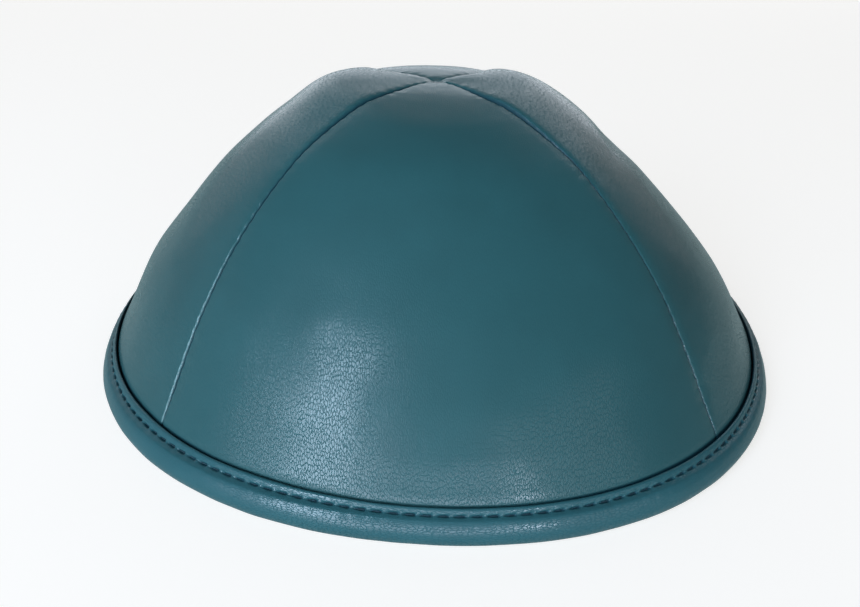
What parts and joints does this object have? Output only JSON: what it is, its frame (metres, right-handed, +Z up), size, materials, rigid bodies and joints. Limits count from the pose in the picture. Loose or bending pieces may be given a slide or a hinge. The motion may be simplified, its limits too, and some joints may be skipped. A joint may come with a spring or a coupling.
{
  "type": "kippah skullcap",
  "caption": "Round domed leather skullcap of sewn gores meeting at the crown, with a folded and topstitched leather binding round its rim; worn on the back of the head.",
  "frame": {"origin": "middle of the rim, on the surface that the cap rests on", "axes": "+Z up through the crown where the seams cross, -Y out of the front gore, +X to the right of someone who looks at the front gore"},
  "size_m": [0.16, 0.16, 0.0645],
  "materials": {
    "panel_leather": "smooth semi-gloss teal leather with a fine creased grain",
    "binding_leather": "the same teal leather, folded over the rim and drawn in by the stitching",
    "stitch_thread": "dark teal sewing thread"
  },
  "bodies": {
    "root": {"front_panel": "panel_leather", "right_panel": "panel_leather", "back_panel": "panel_leather", "left_panel": "panel_leather", "rim_binding": "binding_leather"}
  },
  "joints": []
}
